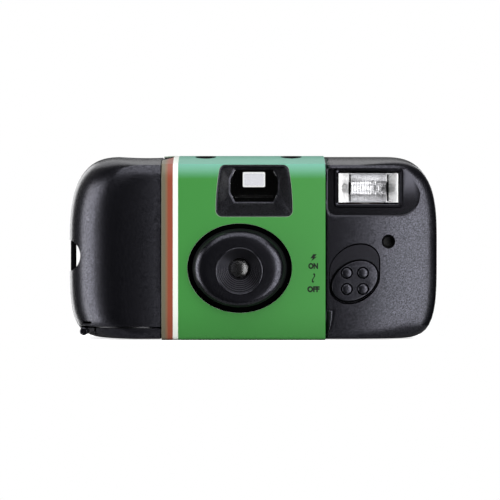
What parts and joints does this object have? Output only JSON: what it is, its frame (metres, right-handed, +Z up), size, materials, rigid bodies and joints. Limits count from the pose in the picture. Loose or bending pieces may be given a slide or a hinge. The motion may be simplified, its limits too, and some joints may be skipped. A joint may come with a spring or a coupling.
{
  "type": "disposable film camera",
  "caption": "Compact single-use film camera with a moulded case, printed band, fixed lens, tunnel finder, built-in flash, sliding flash switch, thumbwheel and film door.",
  "frame": {"origin": "under the middle of the base, where it stands", "axes": "+X to the right seen from the front, -Y towards the subject, +Z up"},
  "size_m": [0.108, 0.034, 0.054],
  "materials": {
    "case_black": "fine grain",
    "label_card": "printed satin",
    "clear_plastic": "clear",
    "inner_black": "matt",
    "white_plastic": "satin",
    "spring_steel": "bright",
    "reflector_metal": "bright",
    "contact_brass": "satin",
    "film_base": "satin",
    "board_laminate": "satin",
    "cell_sleeve": "satin",
    "capacitor_sleeve": "gloss",
    "coil_copper": "satin",
    "lamp_orange": "clear"
  },
  "bodies": {
    "case": {"front_cover": "case_black", "back_cover": "case_black", "lens_bezel": "case_black", "label_band": "label_card", "taking_lens": "clear_plastic", "finder_front_lens": "clear_plastic", "finder_eyepiece": "clear_plastic", "flash_window": "clear_plastic", "counter_window": "clear_plastic", "flash_tube": "clear_plastic", "main_frame": "inner_black", "shutter_base": "inner_black", "aperture_plate": "inner_black", "drive_spring": "spring_steel", "flash_electrodes": "spring_steel", "cartridge_caps": "spring_steel", "cartridge_shell": "spring_steel", "flash_reflector": "reflector_metal", "switch_contact": "contact_brass", "sync_contact": "contact_brass", "battery_contact_plus": "contact_brass", "battery_contact_minus": "contact_brass", "film_strip": "film_base", "flash_board": "board_laminate", "battery": "cell_sleeve", "main_capacitor": "capacitor_sleeve", "transformer": "capacitor_sleeve", "trigger_coil": "coil_copper", "pilot_lamp": "lamp_orange"},
    "thumbwheel": {"thumbwheel": "case_black", "cartridge_spool": "inner_black"},
    "sprocket": {"sprocket": "white_plastic"},
    "film_supply": {"film_roll": "film_base", "supply_spool": "inner_black"},
    "counter": {"counter_disc": "white_plastic"},
    "button": {"shutter_button": "case_black"},
    "release": {"release_lever": "white_plastic"},
    "drive": {"drive_lever": "white_plastic"},
    "blade": {"shutter_blade": "inner_black"},
    "switch": {"flash_switch": "case_black", "light_pipe": "lamp_orange"},
    "door": {"cartridge_door": "case_black"}
  },
  "joints": [
    {"name": "thumbwheel_turn", "type": "hinge", "parent": "case", "child": "thumbwheel", "pos_m": [-0.0354, 0.0026, 0.0469], "axis": [0, 0, 1], "continuous": true},
    {"name": "sprocket_turn", "type": "hinge", "parent": "case", "child": "sprocket", "pos_m": [-0.015, 0.0064, 0.0375], "axis": [0, 0, 1], "continuous": true},
    {"name": "film_supply_turn", "type": "hinge", "parent": "case", "child": "film_supply", "pos_m": [0.0314, 0.00515, 0.023], "axis": [0, 0, 1], "continuous": true},
    {"name": "counter_turn", "type": "hinge", "parent": "case", "child": "counter", "pos_m": [-0.0142, 0.003, 0.0501], "axis": [0, 0, 1], "continuous": true},
    {"name": "shutter_press", "type": "slide", "parent": "case", "child": "button", "axis": [0, 0, -1], "range_m": [0, 0.001], "stiffness_N_per_m": 800},
    {"name": "release_tilt", "type": "hinge", "parent": "case", "child": "release", "pos_m": [-0.0186, -0.01, 0.0355], "axis": [0, -1, 0], "range_deg": [0, 11.5]},
    {"name": "drive_swing", "type": "hinge", "parent": "case", "child": "drive", "pos_m": [-0.0136, -0.01, 0.0265], "axis": [0, -1, 0], "range_deg": [0, 16], "stiffness_Nm_per_rad": 0.0005},
    {"name": "blade_swing", "type": "hinge", "parent": "case", "child": "blade", "pos_m": [0.0044, -0.0093, 0.0263], "axis": [0, 1, 0], "range_deg": [0, 32]},
    {"name": "switch_slide", "type": "slide", "parent": "case", "child": "switch", "axis": [0, 0, 1], "range_m": [0, 0.0042]},
    {"name": "door_hinge", "type": "hinge", "parent": "case", "child": "door", "pos_m": [-0.02695, 0, 0.00075], "axis": [0, -1, 0], "range_deg": [0, 95]}
  ],
  "couplings": [
    {"joint": "sprocket_turn", "follows": "thumbwheel_turn", "ratio": 1.32},
    {"joint": "film_supply_turn", "follows": "thumbwheel_turn", "ratio": 0.96},
    {"joint": "counter_turn", "follows": "thumbwheel_turn", "ratio": -0.0348},
    {"joint": "release_tilt", "follows": "shutter_press", "rad_per_m": 200},
    {"joint": "blade_swing", "follows": "drive_swing", "ratio": 2}
  ]
}
